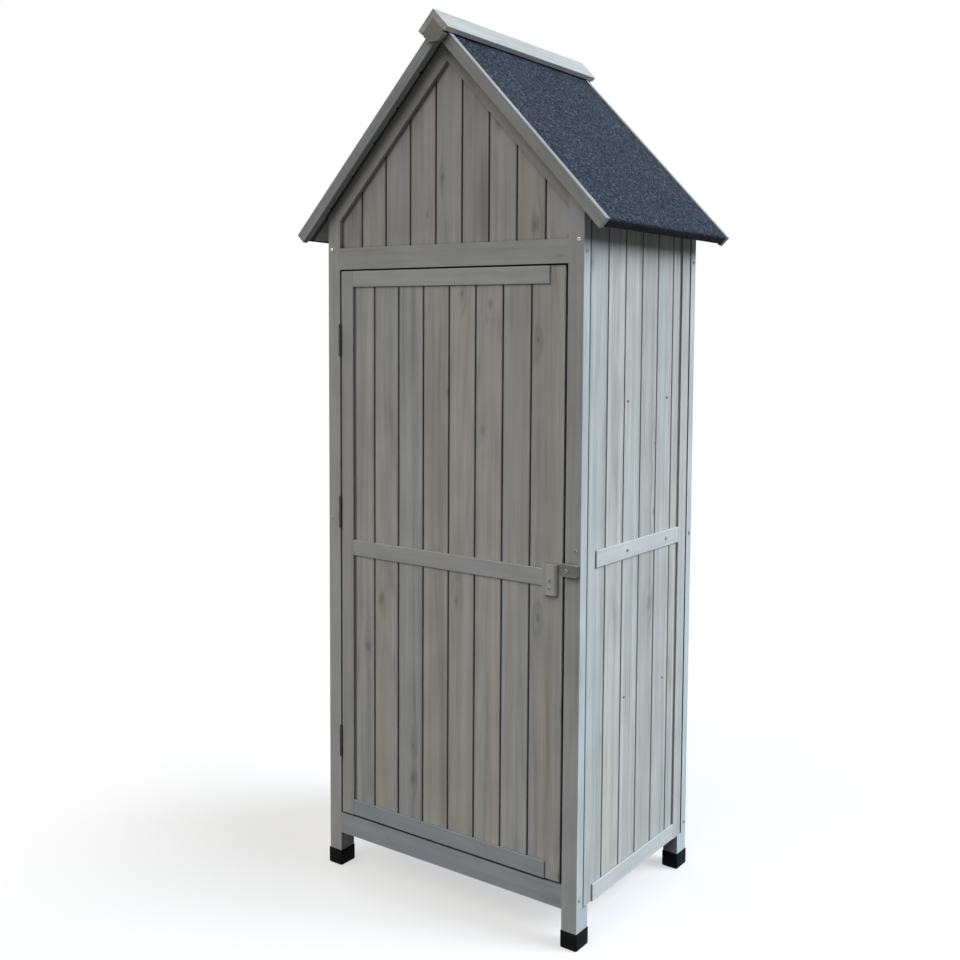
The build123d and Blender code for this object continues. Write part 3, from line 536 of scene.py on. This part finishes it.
def timbers():
    """Each timber finish, with the nodes that take it."""
    door_row = (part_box("door_boards")[1].x - EDGE_BOARD, BOARD_PITCH, 1)
    # painted shade on the boards beside the stiles
    door_edge = [(X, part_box("door_stile")[1].x, STILE_SHADE)]
    side_row = (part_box("right_side_boards")[0].y, BOARD_PITCH, SIDE_BOARDS)
    side_edge = [(Y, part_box("right_side_stile")[0].y, STILE_SHADE)]
    end_row = (BOARD_PITCH / 2, BOARD_PITCH, END_BOARDS_PER_SIDE)
    deck_row = (-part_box("front_gable_boards")[1].z * math.sin(ROOF_PITCH), DECK_BOARD, DECK_BOARDS)
    # painted shade on the roof boards along the faces of the end walls
    roof_shade_lines = [
        (Y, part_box("front_rake_left")[0].y, ROOF_SHADE),
        (Y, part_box("rear_rake_left")[1].y, ROOF_SHADE),
    ]
    deck = dict(shaded_edges=roof_shade_lines, dirt_and_shade_reach=SHADOWED_CREVICE)
    slope = dict(knots=0.1, hues=0.5)
    return [
        (timber("door_boards", X, Z, BOARD_TONE, door_row, door_edge, knots=0.48), ["door_boards"]),
        (timber("side_boards", Y, Z, BOARD_TONE, side_row, side_edge, hues=0.6),
         ["left_side_boards", "right_side_boards"]),
        (timber("gable_boards", X, Z, GABLE_TONE, end_row, knots=0.4), ["front_gable_boards"]),
        (timber("end_boards", X, Z, BOARD_TONE, end_row), ["rear_boards"]),
        # painted light: the side faces of the posts are lighter
        (timber("upright_timber", X, Z, FRAME_TONE, knots=0.1, streaks=0.7, painted_side_level=1.19),
         [f"post_{end}_{side}" for end in ENDS for side in SIDES]),
        (timber("door_stile_timber", X, Z, STILE_TONE, knots=0.1, streaks=0.7), ["door_stile"]),
        (timber("rail_timber", Z, X, RAIL_TONE, knots=0.2, hues=0.4, streaks=0.6),
         ["front_bottom_rail", "rear_bottom_rail", "door_bottom_batten"]),
        (timber("crosswise_timber", Z, X, FRAME_TONE, knots=0.2, hues=0.4, streaks=0.6),
         ["front_top_rail", "rear_middle_rail", "rear_top_rail", "door_top_batten", "door_middle_batten"]),
        (timber("ridge_plate_timber", Z, X, PLATE_TONE, knots=0.1, hues=0.4, streaks=0.6),
         ["ridge_plate_front", "ridge_plate_rear"]),
        (timber("lengthwise_timber", Z, Y, FRAME_TONE, knots=0.15, hues=0.5),
         ["ridge_slat_left", "ridge_slat_right"]),
        (timber("slope_right_timber", Y, DOWN_RIGHT, RIGHT_RAKE_TONE, **slope),
         ["front_rake_right", "rear_rake_right"]),
        (timber("slope_left_timber", Y, DOWN_LEFT, LEFT_RAKE_TONE, **slope, dirt_and_shade_reach=SHADOWED_CREVICE),
         ["front_rake_left", "rear_rake_left"]),
        (timber("barge_right_timber", Y, DOWN_RIGHT, BARGE_TONE, **slope),
         ["barge_front_right", "barge_rear_right"]),
        (timber("barge_left_timber", Y, DOWN_LEFT, LEFT_BARGE_TONE, **slope),
         ["barge_front_left", "barge_rear_left"]),
        (timber("side_upright_timber", Y, Z, SIDE_TONE, knots=0.1, hues=0.5, streaks=0.7),
         ["left_side_stile", "right_side_stile"]),
        (timber("side_bar_timber", Z, Y, BAR_TONE, knots=0.1, hues=0.5, streaks=0.5),
         ["left_side_battens", "right_side_battens"]),
        (timber("deck_right_boards", DOWN_RIGHT, Y, BOARD_TONE, deck_row, **deck), ["roof_deck_right"]),
        (timber("deck_left_boards", DOWN_LEFT, Y, BOARD_TONE, deck_row, **deck), ["roof_deck_left"]),
        (timber("shelf_boards", Y, X, INNER_TONE, shelf_row("shelf_middle")),
         ["shelf_lower", "shelf_middle", "shelf_upper"]),
        (timber("floor_boards", Y, X, INNER_TONE, shelf_row("floor_boards")), ["floor_boards"]),
        (timber("inner_long_timber", Z, Y, INNER_TONE),
         ["left_shelf_cleats", "right_shelf_cleats", "left_eave_rail", "right_eave_rail"]),
        (timber("inner_cross_timber", Z, X, INNER_TONE), ["door_stop_strip"]),
        (timber("latch_block_timber", X, Z, FRAME_TONE, knots=0.2), ["latch_block"]),
        # painted shade: the ends of the turn button are darker
        (timber("turn_button_timber", Z, X, LATCH_TONE, rough=2.5, knots=0.2, painted_side_level=0.3), ["turn_button"]),
    ]


def dress_nodes():
    """Gives each CAD node that stays its material, with the grain along the timber."""
    hinge_steel = steel_material("hinge_steel", *HINGE_COLOURS, 0.45)
    hinges = (hinge_steel, ["hinge_door_leaves", "hinge_pins", "hinge_post_leaves"])
    for material, nodes in [*timbers(), hinges]:
        for node in nodes:
            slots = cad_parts[node].data.materials
            slots.clear()
            slots.append(material)


# Pieces that stand for CAD nodes
def add_object(name, mesh, materials):
    """Adds a mesh to the scene."""
    data = bpy.data.meshes.new(name)
    mesh.to_mesh(data)
    mesh.free()
    for material in materials:
        data.materials.append(material)
    made = bpy.data.objects.new(name, data)
    bpy.context.scene.collection.objects.link(made)
    return made


def add_piece(name, mesh, materials, slot, body, *nodes):
    """Adds a smooth piece that rides on a body and stands for CAD nodes."""
    for face in mesh.faces:
        face.smooth = True
    piece = add_object(name, mesh, materials)
    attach(piece, body)
    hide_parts(*nodes)


def skin(mesh, rings):
    """Joins a list of rings of points into a skin, and returns the rings of vertices."""
    made = [[mesh.verts.new(point) for point in ring] for ring in rings]
    count = len(made[0])
    for low, high in zip(made, made[1:]):
        for i in range(count):
            j = (i + 1) % count
            mesh.faces.new((low[i], low[j], high[j], high[i]))
    return made


def close_ends(mesh, rings):
    """Closes a skin at its first and last ring."""
    mesh.faces.new(reversed(rings[0]))
    mesh.faces.new(rings[-1])


def solid_boxes(node):
    """Box of each separate solid of a CAD node."""
    mesh = bmesh.new()
    mesh.from_mesh(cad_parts[node].data)
    bmesh.ops.remove_doubles(mesh, verts=mesh.verts, dist=SAME_POINT)
    left = set(mesh.verts)
    boxes = []
    while left:
        group = [left.pop()]
        for vert in group:
            for edge in vert.link_edges:
                other = edge.other_vert(vert)
                if other in left:
                    left.discard(other)
                    group.append(other)
        low = Vector([min(vert.co[i] for vert in group) for i in range(3)])
        high = Vector([max(vert.co[i] for vert in group) for i in range(3)])
        boxes.append((low, high))
    mesh.free()
    return sorted(boxes, key=lambda box: tuple(box[0]))


def recess(x, y):
    """Depth of a screw's cross recess at a place on its head."""
    arm = max(abs(x), abs(y))
    side = min(abs(x), abs(y))
    if arm > RECESS_ARM or side > RECESS_WIDTH:
        return 0.0
    return RECESS_DEPTH * min(1.0, RECESS_SLOPE * (1 - arm / RECESS_ARM) + RECESS_LEAST)


def head_profile():
    """Radius and height from a screw's neck to the top of its head."""
    profile = [*NECK, (HEAD_RADIUS * HEAD_FOOT, 0.0), (HEAD_RADIUS, HEAD_RIM)]
    for i in range(1, DOME_STEPS):
        angle = QUARTER * i / DOME_STEPS
        rise = (HEAD_HEIGHT - DOME_START) * math.sin(angle) ** DOME_FULLNESS
        profile.append((HEAD_RADIUS * math.cos(angle), DOME_START + rise))
    return profile


def add_screw(mesh, place, outward, turn, finish):
    """Domed head with a cross recess painted dark for shade, its underside at a place, and a short neck
    below it.
    """
    old = set(mesh.faces)
    frame_of_head = outward.to_track_quat("Z", "Y").to_matrix().to_4x4()
    frame_of_head = Matrix.Translation(place) @ frame_of_head @ Matrix.Rotation(turn, 4, "Z")
    rings = []
    for radius, height in head_profile():
        ring = []
        for i in range(HEAD_SIDES):
            angle = 2 * math.pi * i / HEAD_SIDES
            x = radius * math.cos(angle)
            y = radius * math.sin(angle)
            drop = recess(x, y) if height > RECESS_START else 0.0
            ring.append(frame_of_head @ Vector((x, y, height - drop)))
        rings.append(ring)
    close_ends(mesh, skin(mesh, rings))
    back = frame_of_head.inverted()
    for face in set(mesh.faces) - old:
        spot = back @ face.calc_center_median()
        in_recess = spot.z > RECESS_START and recess(spot.x, spot.y) > 0
        face.material_index = RECESS_SHADE_FINISH if in_recess else finish


def screws():
    """Detailed screws in place of the plain ones, each turned its own way; the highest stay bright."""
    finishes = [
        steel_material("screw_steel", *BRIGHT_COLOURS, 0.34),
        steel_material("stained_screw_steel", *STAINED_COLOURS, 0.55),
        steel_material("screw_recess_shade", *RECESS_SHADE_COLOURS, 0.7),
    ]
    chance = random.Random(SCREW_SEED)
    bodies = {
        "post_screws": "cabinet",
        "shelf_screws": "cabinet",
        "turn_button_screw": "cabinet",
        "latch_block_screws": "door",
    }
    for node, body in bodies.items():
        mesh = bmesh.new()
        for low, high in solid_boxes(node):
            middle = (low + high) / 2
            size = high - low
            axis = max(range(3), key=lambda i: size[i])
            outward = Vector((0, 0, 0))
            outward[axis] = -1.0 if axis == 1 else math.copysign(1.0, middle[axis])
            place = middle + outward * (size[axis] / 2 - CAD_HEAD_HEIGHT)
            is_bright = axis == 1 and place.z > BRIGHT_LEVEL
            finish = BRIGHT_FINISH if is_bright else STAINED_FINISH
            add_screw(mesh, place, outward, chance.uniform(0, QUARTER), finish)
        add_piece(node + "_detailed", mesh, finishes, "screw_steel", body, node)


def rounded_square(low, high, radius, inset, height):
    """Ring round a square with rounded corners, drawn in by an inset."""
    points = []
    radius = max(radius - inset * ROUND_LOSS, LEAST_ROUND)
    corners = [
        (high.x, high.y, 1, 1),
        (low.x, high.y, -1, 1),
        (low.x, low.y, -1, -1),
        (high.x, low.y, 1, -1),
    ]
    for quarter, (x, y, sign_x, sign_y) in enumerate(corners):
        centre_x = x - sign_x * (radius + inset)
        centre_y = y - sign_y * (radius + inset)
        for step in range(CORNER_STEPS + 1):
            angle = QUARTER * (quarter + step / CORNER_STEPS)
            x_here = centre_x + radius * math.cos(angle)
            y_here = centre_y + radius * math.sin(angle)
            points.append((x_here, y_here, height))
    return points


def foot_caps():
    """Moulded caps with rounded corners and bottom edges, and a thin rim."""
    plastic = plastic_material()
    for end in ENDS:
        for side in SIDES:
            node = f"foot_cap_{end}_{side}"
            low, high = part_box(node)
            levels = []
            for step in range(CAP_STEPS + 1):
                angle = QUARTER * step / CAP_STEPS
                inset = CAP_ROUND * (1 - math.sin(angle)) * CAP_TUCK
                levels.append((inset, CAP_ROUND * (1 - math.cos(angle))))
            levels += [(0.0, high.z - CAP_RIM), (CAP_RIM, high.z)]
            levels += [(CAP_WALL, high.z), (CAP_WALL, CAP_FLOOR)]
            mesh = bmesh.new()
            rings = [rounded_square(low, high, CAP_ROUND, inset, height) for inset, height in levels]
            close_ends(mesh, skin(mesh, rings))
            add_piece(f"moulded_cap_{end}_{side}", mesh, [plastic], "foot_cap", "cabinet", node)


def felt_outline(low, high):
    """Outer and inner line of the right sheet from the ridge to the lip, in X and Z."""
    down = Vector((math.cos(ROOF_PITCH), -math.sin(ROOF_PITCH)))
    up = Vector((math.sin(ROOF_PITCH), math.cos(ROOF_PITCH)))
    ridge = Vector((0.0, high.z))
    length = (high.x - ridge.x) / down.x
    corner = ridge + down * length
    drop = (corner.y - low.z) / up.y
    count = round((length - FELT_BEND) / FELT_STEP)
    outer = [ridge + down * ((length - FELT_BEND) * i / count) for i in range(count + 1)]
    centre = corner - down * FELT_BEND - up * FELT_BEND
    for step in range(1, BEND_STEPS):
        angle = QUARTER * step / BEND_STEPS
        outer.append(centre + up * FELT_BEND * math.cos(angle) + down * FELT_BEND * math.sin(angle))
    tail = corner - up * FELT_BEND
    outer += [tail - up * ((drop - FELT_BEND) * i / LIP_STEPS) for i in range(LIP_STEPS + 1)]
    inner = [
        corner - down * FELT_THICKNESS - up * drop,
        corner - down * FELT_THICKNESS - up * FELT_THICKNESS,
        ridge - Vector((0, FELT_THICKNESS / math.cos(ROOF_PITCH))),
    ]
    return outer, inner


def felt_wave(y, i, sign):
    """Slow unevenness of a sheet at a place along the ridge and a number of points down the slope."""
    ridge_rate, slope_rate, other_ridge_rate, other_slope_rate = FELT_WAVE_RATES
    wave = math.sin(y * ridge_rate + i * slope_rate)
    return FELT_WAVE * wave * math.sin(y * other_ridge_rate - i * other_slope_rate + sign)


def felt_sheets():
    """Felt sheets with uneven granulated surfaces, bent softly over the eaves."""
    granules = felt_material()
    chance = random.Random(FELT_SEED)
    low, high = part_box("roof_felt_right")
    outer, inner = felt_outline(low, high)
    rows = round((high.y - low.y) / FELT_STEP)
    for side, sign in (("right", 1), ("left", -1)):
        mesh = bmesh.new()
        rings = []
        for row in range(rows + 1):
            y = low.y + (high.y - low.y) * row / rows
            ring = []
            for i, point in enumerate(outer):
                before = outer[max(i - 1, 0)]
                after = outer[min(i + 1, len(outer) - 1)]
                run = (after - before).normalized()
                out = Vector((-run.y, run.x))
                wave = felt_wave(y, i, sign) * min(1.0, i / RIDGE_POINTS)
                moved = point + out * (wave + chance.uniform(-1, 1) * FELT_GRAIN)
                ring.append((sign * moved.x, y, moved.y))
            ring += [(sign * point.x, y, point.y) for point in inner]
            rings.append(ring if sign > 0 else list(reversed(ring)))
        made = skin(mesh, rings)
        mesh.faces.new(made[0])
        mesh.faces.new(reversed(made[-1]))
        bmesh.ops.recalc_face_normals(mesh, faces=mesh.faces)
        add_piece(f"felt_sheet_{side}", mesh, [granules], "roof_felt", "cabinet", f"roof_felt_{side}")


# Floor, lamps and camera
FLOOR_SIZE = 8.0                # from the middle to each edge, in metres
FLOOR_FADE = (0.5, 1.3)         # distances over which the floor runs out into white
FLOOR_WHITE = (0.55, 1.0)       # share of white at those distances
SEEN_FLOOR = colour(0.9, 0.9, 0.9)
LIGHTING_FLOOR = colour(0.10, 0.10, 0.10)
SURROUND_COLOUR = colour(0.97, 0.985, 1.0)
SURROUND_STRENGTH = 0.03
SEEN_RAYS = ("Is Camera Ray", "Is Glossy Ray", "Is Transmission Ray")


def floor():
    """Pale floor that keeps the shadow and runs out into white."""
    g = Graph("studio_floor")
    far = g.length(g.place())
    rays = g.node("ShaderNodeLightPath").outputs
    seen = rays[SEEN_RAYS[0]]
    for ray in SEEN_RAYS[1:]:
        seen = g.math("MAXIMUM", seen, rays[ray])
    matt = g.node("ShaderNodeBsdfDiffuse")
    g.feed(matt.inputs["Color"], g.blend(seen, LIGHTING_FLOOR, SEEN_FLOOR))
    white = g.node("ShaderNodeEmission")
    mix = g.node("ShaderNodeMixShader")
    g.feed(mix.inputs[0], g.math("MULTIPLY", g.span(far, *FLOOR_FADE, *FLOOR_WHITE), seen))
    g.links.new(matt.outputs[0], mix.inputs[1])
    g.links.new(white.outputs[0], mix.inputs[2])
    output = g.node("ShaderNodeOutputMaterial")
    g.links.new(mix.outputs[0], output.inputs["Surface"])
    mesh = bmesh.new()
    bmesh.ops.create_grid(mesh, x_segments=1, y_segments=1, size=FLOOR_SIZE)
    add_object("studio_floor", mesh, [g.material])


def sky(name, bearing, elevation, width, strength, tint):
    """Wide soft part of the sky, at a bearing from +X towards +Y, all in degrees."""
    data = bpy.data.lights.new(name, "SUN")
    data.angle = math.radians(width)
    data.energy = strength
    data.color = tint
    made = bpy.data.objects.new(name, data)
    bpy.context.scene.collection.objects.link(made)
    lift = Matrix.Rotation(math.radians(-elevation), 3, "Y")
    turn = Matrix.Rotation(math.radians(bearing), 3, "Z") @ lift
    made.rotation_euler = (turn @ -X).to_track_quat("-Z", "Y").to_euler()


def lights():
    """Open sky from the right and above, weaker ones from the front and the left, and a pale surround."""
    sky("right_sky", 25.0, 36.0, 42.0, 4.75, (0.79, 0.91, 1.0))
    sky("front_sky", 258.0, 42.0, 60.0, 1.70, (1.0, 0.975, 0.94))
    sky("left_sky", 172.0, 28.0, 50.0, 1.0, (1.0, 0.985, 0.96))
    world = bpy.data.worlds.new("pale_surround")
    bpy.context.scene.world = world
    world.use_nodes = True
    nodes = world.node_tree.nodes
    links = world.node_tree.links
    nodes.clear()
    rays = nodes.new("ShaderNodeLightPath").outputs
    seen = rays[SEEN_RAYS[0]]
    for ray in SEEN_RAYS[1:]:
        either = nodes.new("ShaderNodeMath")
        either.operation = "MAXIMUM"
        links.new(seen, either.inputs[0])
        links.new(rays[ray], either.inputs[1])
        seen = either.outputs[0]
    dim = nodes.new("ShaderNodeBackground")
    dim.inputs["Color"].default_value = SURROUND_COLOUR
    dim.inputs["Strength"].default_value = SURROUND_STRENGTH
    white = nodes.new("ShaderNodeBackground")
    white.inputs["Color"].default_value = colour(1, 1, 1)
    mix = nodes.new("ShaderNodeMixShader")
    output = nodes.new("ShaderNodeOutputWorld")
    links.new(seen, mix.inputs[0])
    links.new(dim.outputs[0], mix.inputs[1])
    links.new(white.outputs[0], mix.inputs[2])
    links.new(mix.outputs[0], output.inputs["Surface"])


def camera():
    """Camera where the photograph was taken from."""
    yaw = math.radians(CAMERA_YAW)
    pitch = math.radians(CAMERA_PITCH)
    roll = math.radians(CAMERA_ROLL)
    ahead = Vector((-math.sin(yaw) * math.cos(pitch), math.cos(yaw) * math.cos(pitch), math.sin(pitch)))
    level = Vector((math.cos(yaw), math.sin(yaw), 0))
    above = level.cross(ahead)
    right = level * math.cos(roll) + above * math.sin(roll)
    up = above * math.cos(roll) - level * math.sin(roll)
    data = bpy.data.cameras.new("photograph_view")
    data.sensor_width = SENSOR_WIDTH
    data.lens = FOCAL_LENGTH / IMAGE_SIZE * SENSOR_WIDTH
    data.shift_x = 0.5 - OPTICAL_CENTRE[0] / IMAGE_SIZE
    data.shift_y = OPTICAL_CENTRE[1] / IMAGE_SIZE - 0.5
    made = bpy.data.objects.new("photograph_view", data)
    bpy.context.scene.collection.objects.link(made)
    turn = Matrix((right, up, -ahead)).transposed()
    made.matrix_world = Matrix.Translation(CAMERA_PLACE) @ turn.to_4x4()
    bpy.context.scene.camera = made


dress_nodes()
felt_sheets()
foot_caps()
screws()
floor()
lights()
camera()
bpy.context.scene.view_settings.view_transform = "Standard"
